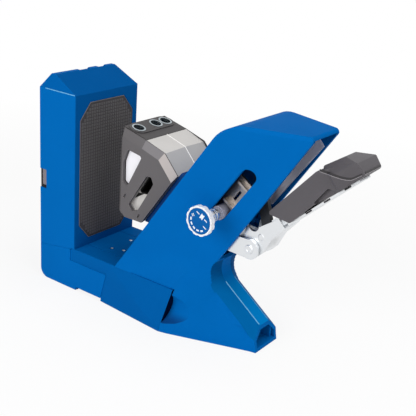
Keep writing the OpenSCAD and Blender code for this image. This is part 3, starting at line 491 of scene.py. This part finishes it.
def fading(finish, fade, far_tone):
    """Lets a finish change to another tone between two heights in mm."""
    tree = FINISH[finish].node_tree
    shader = tree.nodes["Principled BSDF"]
    grain = next(node for node in tree.nodes if node.type == "GROUP")
    coords = next(node for node in tree.nodes if node.type == "TEX_COORD")
    split = tree.nodes.new("ShaderNodeSeparateXYZ")
    share = tree.nodes.new("ShaderNodeMapRange")
    share.interpolation_type = "SMOOTHSTEP"
    for socket_name, height in zip(("From Min", "From Max"), fade):
        share.inputs[socket_name].default_value = height * MM
    tones = tree.nodes.new("ShaderNodeMixRGB")
    tones.inputs["Color2"].default_value = far_tone
    tree.links.new(coords.outputs["Object"], split.inputs["Vector"])
    tree.links.new(split.outputs["Z"], share.inputs["Value"])
    tree.links.new(share.outputs["Result"], tones.inputs["Fac"])
    tree.links.new(grain.outputs["Colour"], tones.inputs["Color1"])
    tree.links.new(tones.outputs["Color"], shader.inputs["Base Color"])


def foot_facet(face):
    """0 for the arm's own finish, 1 for the painted highlight of the foot's ridge, 2 for the painted shade of
    its bevels and 3 for that of the finger scoops.
    """
    place, out = face.center, face.normal
    reach = (Vector((abs(place.y), place.z)) - SCOOP_AXIS).length
    if abs(reach - SCOOP_R) < SCOOP_WITHIN and abs(out.x) < SCOOP_MOST_X and place.x > TRAY_END:
        return 3
    if not (FOOT_FROM < place.x < FOOT_TO and place.z < FOOT_HIGH and out.x > FOOT_LEAST_X):
        return 0
    if abs(out.y) < RIDGE_MOST_Y and abs(place.y) < RIDGE_HALF:
        return 1
    return 2 if abs(place.y) < CREASE_HALF and BEVEL_LEAST_Y < abs(out.y) < BEVEL_MOST_Y else 0


fading("foot_ridge", RIDGE_FADE, srgb(0, 100, 176))
fading("foot_bevel_shade", BEVEL_FADE, srgb(0, 76, 134))
fading("scoop_shade", SCOOP_FADE, srgb(0, 98, 174))
arm_mesh, tray_mesh = skins["arm_body"].data, skins["base_tray"].data
for finish in ("foot_ridge", "foot_bevel_shade", "scoop_shade"):
    arm_mesh.materials.append(FINISH[finish])
for face in arm_mesh.polygons:
    face.material_index = foot_facet(face)
tray_mesh.materials.append(FINISH["tray_end_shade"])
for face in tray_mesh.polygons:
    face.material_index = int(face.normal.x > END_LEAST_X and face.center.x > TRAY_END)
print("ridge, bevel and scoop faces:",
      [sum(face.material_index == k for face in arm_mesh.polygons) for k in (1, 2, 3)])

# %% [markdown]
# The side plates' broad bevels have three runs along the block's top, and each catches the light at its
# own angle, which is painted in: the run at the clamp face has painted shade, the middle one a painted grey
# and the one that leans to the arm a painted highlight.

# %% Painted light and shade on the bevels of the side plates
PALE_LEAST_X, TOP_LEAST_Z, DARK_TO = 0.2, 0.1, 70 * MM
# Places in a plate's list of finishes, where 0 is its own and BEVEL is that of all its bevels so far
BEVEL, DARK, MID, PALE = 1, 2, 3, 4
for node in ("side_plate_near", "side_plate_far"):
    plate_mesh = skins[node].data
    for finish in ("bevel_painted_shade", "bevel_painted_grey", "bevel_painted_highlight"):
        plate_mesh.materials.append(FINISH[finish])
    for face in plate_mesh.polygons:
        if face.material_index == BEVEL and face.normal.z > TOP_LEAST_Z:
            leans_to_arm, near_clamp = face.normal.x > PALE_LEAST_X, face.center.x < DARK_TO
            face.material_index = PALE if leans_to_arm else DARK if near_clamp else MID
    print(node, "dark, grey and pale faces:",
          [sum(face.material_index == k for face in plate_mesh.polygons) for k in (DARK, MID, PALE)])

# %% [markdown]
# The column's sides fold inwards just above the pad, and its front has painted shade, a shade deeper than its
# sides. The fold is shallow, so the solid keeps a flat side and the side's finish changes to painted shade at
# the fold's height, read from the lower edge of the front chamfer.

# %% Faces of the column
FRONT_LEAST_X, CHAMFER_MOST_X, CHAMFER_LEAST_Z, SIDE_LEAST_Y = 0.3, 0.95, 0.3, 0.9
CHAMFER_AREA, FOLD_BLUR = 1e-4, 0.3
column_mesh = skins["column_shell"].data
chamfer = [face for face in column_mesh.polygons
           if FRONT_LEAST_X < face.normal.x < CHAMFER_MOST_X and face.normal.z > CHAMFER_LEAST_Z
           and face.area > CHAMFER_AREA]
fold_z = min(column_mesh.vertices[k].co.z for face in chamfer for k in face.vertices) / MM
column_half = max(corner.co.y for corner in column_mesh.vertices) / MM
fading("column_side_fold_shade", (fold_z - FOLD_BLUR, fold_z + FOLD_BLUR), srgb(0, 90, 163))
for finish in ("column_front_shade", "column_side_fold_shade"):
    column_mesh.materials.append(FINISH[finish])
for face in column_mesh.polygons:
    is_front, is_side = face.normal.x > FRONT_LEAST_X, abs(face.normal.y) > SIDE_LEAST_Y
    face.material_index = 1 if is_front else 2 if is_side else 0
print("column fold at", round(fold_z, 1), "half width", round(column_half, 1))

# %% [markdown]
# Some lines are too thin for the solids: edges that shine, and dark gaps where pieces meet. Their light and
# shade are painted: each is a strip or a thin plate with a painted highlight or painted shade that lies on
# the faces of its piece, so two helpers build them all, one from rows of points and one from outlines in the
# side view.

# %% Helpers for strips and plates
def keep_piece(name, work, body, finish):
    """Turns a working mesh into a piece with a finish, which rides on a body."""
    mesh = bpy.data.meshes.new(name)
    work.to_mesh(mesh)
    work.free()
    mesh.materials.append(FINISH[finish])
    piece = bpy.data.objects.new(name, mesh)
    bpy.context.collection.objects.link(piece)
    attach(piece, body)
    return piece


def strip_piece(name, rows, body, finish):
    """A piece from rows of points; each row is joined to the next one by quads."""
    work = bmesh.new()
    for row_set in rows:
        corners = [[work.verts.new(Vector(point) * MM) for point in row] for row in row_set]
        for first, second in zip(corners, corners[1:]):
            for k in range(len(first) - 1):
                work.faces.new((first[k], first[k + 1], second[k + 1], second[k]))
    return keep_piece(name, work, body, finish)


def outward_at(path, index):
    """The upward normal at a point of a side view path, averaged over its two runs."""
    total = Vector((0, 0))
    for first, second in zip(path, path[1:]):
        if path[index] in (first, second):
            run = (Vector(second) - Vector(first)).normalized()
            total += Vector((-run.y, run.x))
    return total.normalized()


def across_path(path, offsets):
    """Rows across a side view path: for each of its points, one point per (y, height) in offsets."""
    rows = []
    for index, (x, z) in enumerate(path):
        out = outward_at(path, index)
        rows.append([(x + out.x * height, y, z + out.y * height) for y, height in offsets])
    return rows


def plate_piece(name, plates, body, finish):
    """A piece of thin plates: each is a side view outline between two values of y."""
    work = bmesh.new()
    for sides, y_low, y_high in plates:
        near = [work.verts.new(Vector((x, y_low, z)) * MM) for x, z in sides]
        far = [work.verts.new(Vector((x, y_high, z)) * MM) for x, z in sides]
        work.faces.new(near)
        work.faces.new(far[::-1])
        for k in range(len(sides)):
            work.faces.new((near[k], near[k - 1], far[k - 1], far[k]))
    bmesh.ops.recalc_face_normals(work, faces=work.faces)
    return keep_piece(name, work, body, finish)


def both_faces(sides, y_low, y_high):
    """The same plate on the near and the far side."""
    return [(sides, -y_high, -y_low), (sides, y_low, y_high)]


# %% [markdown]
# The column's fold and the two edges of the foot's ridge catch the light along their whole length, so
# each has a pale strip of painted highlight.

# %% Painted highlights on the column's fold and the foot's ridge
EDGE_FROM, EDGE_TO, EDGE_PROUD, EDGE_HALF = -37.5, -1.0, 0.05, 0.35
FOOT_EDGE_PATH = [(147.6, 48.6), (150.3, 46.4), (184.4, 21.6)]
FOOT_EDGE_ACROSS = [(6.15, 0.1), (6.55, 0.12), (6.95, -0.2)]
edge_rows = []
for side in (-1, 1):
    heights = (-side * EDGE_HALF, side * EDGE_HALF)
    edge_rows.append([[(x, side * (column_half + EDGE_PROUD), fold_z + height) for height in heights]
                      for x in (EDGE_FROM, EDGE_TO)])
column_fold_highlight = strip_piece("column_fold_highlight", edge_rows, BODY_OF["column_shell"],
                          "foot_edge_highlight")
foot_edge_highlight = strip_piece("foot_edge_highlight", [
    across_path(FOOT_EDGE_PATH, [(-y, height) for y, height in FOOT_EDGE_ACROSS[::-1]]),
    across_path(FOOT_EDGE_PATH, FOOT_EDGE_ACROSS),
], BODY_OF["arm_body"], "foot_edge_highlight")
print("bright lines:", column_fold_highlight.name, foot_edge_highlight.name)

# %% [markdown]
# Small plain forms finish the drill guide block: a low bead along the casting's ridge with a painted
# highlight, black strips of painted shade in the gaps where its plates meet it, and black plates of painted
# shade in the lower windows. The clips in the column's side notches have black plates of painted shade beside
# them too.

# %% Painted highlight and shade on the guide block and at the clips
BLOCK_PATH = [(46, 165.5), (70, 159.6), (90.5, 153.3), (105.29, 136.95)]
CORE_HALF, PLATE_IN, GAP_HEIGHT = 26.3, 27.0, -0.3
RIDGE_ACROSS = [(-0.6, -0.15), (-0.2, 0.3), (0.2, 0.3), (0.6, -0.15)]
CAP_GAP = [(69.7, 159.75), (70.3, 159.52)]
WINDOW_SHADE, SHADE_Y = [(62.3, 110.6), (58.5, 104.5), (68.6, 110.96)], (24.9, 25.2)
CLIP_GAPS = [[(-44.4, 91.2), (-42.3, 91.2), (-42.3, 108.8), (-44.4, 108.8)],
             [(-42.3, 91.2), (-37.1, 91.2), (-37.1, 94), (-42.3, 94)]]
CLIP_GAP_Y = (39.1, 39.3)
GUIDE = BODY_OF["guide_core"]
core_ridge = strip_piece("core_ridge", [across_path(BLOCK_PATH[1:], RIDGE_ACROSS)],
                         GUIDE, "core_ridge_highlight")
# Black strips of painted shade in the gaps between the plates and the casting
block_gap_shade = strip_piece("block_gap_shade", [
    across_path(BLOCK_PATH, [(-PLATE_IN, GAP_HEIGHT), (-CORE_HALF, GAP_HEIGHT)]),
    across_path(BLOCK_PATH, [(CORE_HALF, GAP_HEIGHT), (PLATE_IN, GAP_HEIGHT)]),
    [[(x, y, z) for x, z in CAP_GAP] for y in (CORE_HALF, -CORE_HALF)],
], GUIDE, "pocket_plastic")
window_shades = plate_piece("window_shades", both_faces(WINDOW_SHADE, *SHADE_Y), GUIDE,
                            "pocket_plastic")
# Black plates of painted shade beside the column's clips
clip_plates = [plate for sides in CLIP_GAPS for plate in both_faces(sides, *CLIP_GAP_Y)]
clip_gap_shade = plate_piece("clip_gap_shade", clip_plates, BODY_OF["column_clips"],
                        "pocket_plastic")
print("strips:", core_ridge.name, block_gap_shade.name, window_shades.name, clip_gap_shade.name)

# %% [markdown]
# The grip's paddle is a cap with an edge of its own: a dark band of painted shade for its step, with a pale
# strip of painted highlight for the lip below it, runs along both sides and round the paddle's end. The strip
# under the grip shows short slots in its edges as dark plates of painted shade. Both are made with the same
# helpers, and they ride on the handle.

# %% Painted light and shade along the grip
LIP_PATH = [(225.6, 12.0, 168.8), (232.0, 12.0, 168.4), (233.0, 12.62, 168.6), (234.1, 13.42, 168.9),
            (235.1, 14.02, 169.0), (236.1, 14.54, 169.1), (237.7, 15.0, 169.1), (239.1, 15.0, 169.0),
            (245.1, 14.63, 168.6), (249.5, 14.21, 168.8), (252.0, 13.99, 169.3), (253.8, 13.88, 170.1),
            (260.4, 13.72, 175.0)]
LIP_PROUD, LIP_BAND, STEP_BAND = 0.3, (-0.35, 0.15), (0.15, 2.0)
LIP_END = {"x": 262.1, "half": 12.4, "z": 175.9}
STRIP_SLOTS, SLOT_HALF = [(219.8, 133.0), (233.9, 146.2), (249.2, 160.4)], 3.2
SLOT_LOW, SLOT_HIGH, SLOT_Y = 0.3, 1.7, (8.6, 8.95)
STRIP_ALONG, STRIP_UP = Vector((0.733, 0.68)), Vector((-0.737, 0.676))
HANDLE = BODY_OF["handle_grip"]


def lip_rows(low, high):
    """A band along the lip on both sides and round the end, between two heights above the lip's line."""
    across = [[(LIP_END["x"], y, LIP_END["z"] + height) for height in (high, low)]
              for y in (-LIP_END["half"], LIP_END["half"])]
    bands = [across]
    for side in (-1, 1):
        heights = (low, high) if side > 0 else (high, low)
        bands.append([[(x, side * (y + LIP_PROUD), z + height) for height in heights]
                      for x, y, z in LIP_PATH])
    return bands


cap_lip_highlight = strip_piece("cap_lip_highlight", lip_rows(*LIP_BAND), HANDLE, "grip_lip_highlight")
cap_step_shade = strip_piece("cap_step_shade", lip_rows(*STEP_BAND), HANDLE, "grip_shade")
slot_plates = []
for x, z in STRIP_SLOTS:
    middle = Vector((x, z))
    outline = [tuple(middle + STRIP_ALONG * along + STRIP_UP * up)
               for along, up in ((-SLOT_HALF, SLOT_LOW), (SLOT_HALF, SLOT_LOW),
                                 (SLOT_HALF, SLOT_HIGH), (-SLOT_HALF, SLOT_HIGH))]
    slot_plates += both_faces(outline, *SLOT_Y)
strip_slot_shade = plate_piece("strip_slot_shade", slot_plates, HANDLE, "grip_shade")
print("grip lines:", cap_lip_highlight.name, cap_step_shade.name, strip_slot_shade.name)

# %% [markdown]
# Geometry Nodes make what repeats. Each tree here gets its sizes as named inputs, so the modifier can
# change them, and ends in Realize Instances and Set Material, so that the result is one plain mesh.
# These helpers add nodes and set inputs by their socket's identifier.

# %% Node tree helpers
def new_tree(name, inputs):
    """A geometry tree with named number inputs and one geometry output."""
    tree = bpy.data.node_groups.new(name, "GeometryNodeTree")
    tree.interface.new_socket(name="Geometry", in_out="OUTPUT", socket_type="NodeSocketGeometry")
    for label, value in inputs.items():
        kind = "NodeSocketInt" if isinstance(value, int) else "NodeSocketFloat"
        tree.interface.new_socket(name=label, in_out="INPUT", socket_type=kind).default_value = value
    return tree, tree.nodes.new("NodeGroupInput"), tree.nodes.new("NodeGroupOutput")


def add_node(tree, kind, links=(), **settings):
    """Adds a node, sets its properties, and links or sets its inputs."""
    node = tree.nodes.new(kind)
    for label, value in settings.items():
        setattr(node, label, value)
    for socket, value in dict(links).items():
        if isinstance(value, bpy.types.NodeSocket):
            tree.links.new(value, node.inputs[socket])
        else:
            node.inputs[socket].default_value = value
    return node


def maths(tree, operation, first, second=0.0):
    return add_node(tree, "ShaderNodeMath", {0: first, 1: second}, operation=operation).outputs[0]


def close_tree(tree, end, instances, finish, turn=(0, 0, 0), place=(0, 0, 0)):
    """Realizes the instances, puts them in place and gives them their finish."""
    real = add_node(tree, "GeometryNodeRealizeInstances", {"Geometry": instances})
    moved = add_node(tree, "GeometryNodeTransform",
                     {"Geometry": real.outputs[0], "Rotation": turn, "Translation": place})
    dressed = add_node(tree, "GeometryNodeSetMaterial", {"Geometry": moved.outputs[0], "Material": finish})
    tree.links.new(dressed.outputs[0], end.inputs["Geometry"])


def grow(name, tree, values, body):
    """Runs a tree on an empty mesh with its own values and keeps the plain result."""
    piece = bpy.data.objects.new(name, bpy.data.meshes.new(name))
    bpy.context.collection.objects.link(piece)
    modifier = piece.modifiers.new(name, "NODES")
    modifier.node_group = tree
    for item in tree.interface.items_tree:
        if item.in_out == "INPUT" and item.name in values:
            modifier[item.identifier] = values[item.name]
    plain_mesh(piece)
    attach(piece, body)
    print(name, "faces:", len(piece.data.polygons))


# %% [markdown]
# The pad grips the board with a field of small square studs in rows. A grid gives their centres, the
# points outside the pad's eight sides are deleted, and a flat-topped pyramid, turned so that its sides
# follow the rows, is placed on each point that is left.

# %% Studs of the grip pad
PAD_LOW, PAD_HIGH = (Vector(corner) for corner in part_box("grip_pad"))
PAD_HALF_W = (PAD_HIGH.y - PAD_LOW.y) / 2
PAD_HALF_H = (PAD_HIGH.z - PAD_LOW.z) / 2
PAD_MID_Z = (PAD_HIGH.z + PAD_LOW.z) / 2
PAD_CUT_W, PAD_CUT_H = 12.5 * MM, 15 * MM
STUD_PITCH, STUD_TALL, STUD_SUNK, PAD_RIM = 2.9 * MM, 0.35 * MM, 0.05 * MM, 2.2 * MM
# Shares of the pitch for the radius of a stud's top and foot, and the grid's span in half heights of the pad
STUD_TOP, STUD_FOOT, GRID_SPAN = 0.36, 0.62, 3.0


def build_stud_tree():
    tree, start, end = new_tree("pad_studs", {"Pitch": 0.003, "Half width": 0.03, "Half height": 0.06,
                                              "Cut width": 0.012, "Cut height": 0.015, "Tall": 0.0003})
    value = start.outputs
    span = maths(tree, "MULTIPLY", value["Half height"], GRID_SPAN)
    count = maths(tree, "DIVIDE", span, value["Pitch"])
    grid = add_node(tree, "GeometryNodeMeshGrid", {"Size X": span, "Size Y": span, "Vertices X": count,
                                                   "Vertices Y": count})
    spot = add_node(tree, "GeometryNodeInputPosition")
    axes = add_node(tree, "ShaderNodeSeparateXYZ", {0: spot.outputs[0]})
    across = maths(tree, "ABSOLUTE", axes.outputs["X"])
    along = maths(tree, "ABSOLUTE", axes.outputs["Y"])
    corner = maths(tree, "ADD", maths(tree, "DIVIDE", across, value["Cut width"]),
                   maths(tree, "DIVIDE", along, value["Cut height"]))
    limit = maths(tree, "ADD", maths(tree, "DIVIDE", value["Half width"], value["Cut width"]),
                  maths(tree, "DIVIDE", value["Half height"], value["Cut height"]))
    outside = maths(tree, "ADD", maths(tree, "GREATER_THAN", across, value["Half width"]),
                    maths(tree, "GREATER_THAN", along, value["Half height"]))
    past_corner = maths(tree, "GREATER_THAN", corner, maths(tree, "SUBTRACT", limit, 1.0))
    outside = maths(tree, "ADD", outside, past_corner)
    kept = add_node(tree, "GeometryNodeDeleteGeometry",
                    {"Geometry": grid.outputs["Mesh"], "Selection": outside}, domain="POINT")
    stud = add_node(tree, "GeometryNodeMeshCone",
                    {"Vertices": 4, "Radius Top": maths(tree, "MULTIPLY", value["Pitch"], STUD_TOP),
                     "Radius Bottom": maths(tree, "MULTIPLY", value["Pitch"], STUD_FOOT),
                     "Depth": value["Tall"]})
    placed_studs = add_node(tree, "GeometryNodeInstanceOnPoints",
                            {"Points": kept.outputs[0], "Instance": stud.outputs["Mesh"],
                             "Rotation": (0, 0, math.radians(45))})
    close_tree(tree, end, placed_studs.outputs[0], FINISH["pad_studs"],
               (math.radians(90), 0, math.radians(90)), (PAD_HIGH.x - STUD_SUNK, 0, PAD_MID_Z))
    return tree


grow("pad_studs", build_stud_tree(),
     {"Pitch": STUD_PITCH, "Half width": PAD_HALF_W - PAD_RIM, "Half height": PAD_HALF_H - PAD_RIM,
      "Cut width": PAD_CUT_W, "Cut height": PAD_CUT_H, "Tall": STUD_TALL}, "body")

# %% [markdown]
# The knob's dial tells which way tightens: a plus, a minus, a row of dashes between them, and a small
# sign of two bars that press on a block. The dashes repeat along an arc, so a tree makes them. All of
# the marks turn with the knob.

# %% Dashes of the knob's dial
DIAL_LOW, DIAL_HIGH = (Vector(corner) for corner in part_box("knob_dial"))
DIAL_AT = Vector(((DIAL_LOW.x + DIAL_HIGH.x) / 2, DIAL_LOW.y, (DIAL_LOW.z + DIAL_HIGH.z) / 2))
# The marks are drawn for a dial of this width
DRAWN_DIAL, MARK_TALL = 26 * MM, 0.12 * MM
DIAL_SCALE = (DIAL_HIGH.x - DIAL_LOW.x) / DRAWN_DIAL
DASHES, DASH_START, DASH_SWEEP = 5, math.radians(179), math.radians(113)
DASH_RADIUS, DASH_LONG, DASH_WIDE = (size * MM * DIAL_SCALE for size in (9.8, 3.0, 1.7))
FINISH["dial_marks"] = grained("dial_marks", srgb(236, 242, 248), srgb(222, 230, 240), 0.45, 0.8, 0.1)


def build_dash_tree():
    tree, start, end = new_tree("dial_dashes", {"Count": 5, "Radius": 0.01, "Start": 3.1, "Sweep": 2.0,
                                                "Length": 0.003, "Width": 0.0015, "Tall": 0.0002})
    value = start.outputs
    arc = add_node(tree, "GeometryNodeCurveArc",
                   {"Resolution": 48, "Radius": value["Radius"], "Start Angle": value["Start"],
                    "Sweep Angle": value["Sweep"]})
    spots = add_node(tree, "GeometryNodeCurveToPoints",
                     {"Curve": arc.outputs["Curve"], "Count": value["Count"]})
    size = add_node(tree, "ShaderNodeCombineXYZ",
                    {"X": value["Length"], "Y": value["Width"], "Z": value["Tall"]})
    dash = add_node(tree, "GeometryNodeMeshCube", {"Size": size.outputs[0]})
    aim = add_node(tree, "FunctionNodeAlignRotationToVector", {"Vector": spots.outputs["Tangent"]}, axis="X",
                   pivot_axis="Z")
    row = add_node(tree, "GeometryNodeInstanceOnPoints",
                   {"Points": spots.outputs["Points"], "Instance": dash.outputs["Mesh"],
                    "Rotation": aim.outputs["Rotation"]})
    close_tree(tree, end, row.outputs[0], FINISH["dial_marks"], (math.radians(90), 0, 0), DIAL_AT)
    return tree


grow("dial_dashes", build_dash_tree(),
     {"Count": DASHES, "Radius": DASH_RADIUS, "Start": DASH_START, "Sweep": DASH_SWEEP,
      "Length": DASH_LONG, "Width": DASH_WIDE, "Tall": MARK_TALL}, "knob")

# %% [markdown]
# The other marks differ from each other, so a tree would gain nothing. Each is a few thin plates: a unit
# cube that one matrix scales, turns and moves onto the dial.

# %% Signs of the knob's dial
# Each plate: centre on the drawn dial, length and width in millimetres, and its turn in degrees
DIAL_SIGNS = [
    ((-7.6, 4.5), 3.6, 0.9, -18), ((-7.6, 4.5), 3.6, 0.9, 72), ((6.7, -4.8), 4.0, 0.9, -31),
    ((-1.9, 8.0), 3.8, 1.0, -31), ((7.4, 2.4), 3.8, 1.0, -31),
    ((2.9, 5.3), 1.9, 4.6, -31), ((1.7, 6.0), 1.0, 5.6, -31), ((4.1, 4.6), 1.0, 5.6, -31),
]
signs = bmesh.new()
for (across, up), length, width, turn in DIAL_SIGNS:
    sign_at = (Matrix.Translation(DIAL_AT + Vector((across, 0, up)) * MM * DIAL_SCALE)
               @ Matrix.Rotation(-math.radians(turn), 4, "Y")
               @ Matrix.Diagonal((length * MM * DIAL_SCALE, MARK_TALL, width * MM * DIAL_SCALE, 1)))
    bmesh.ops.create_cube(signs, size=1, matrix=sign_at)
keep_piece("dial_signs", signs, "knob", "dial_marks")
print("plates of the dial's signs:", len(DIAL_SIGNS))
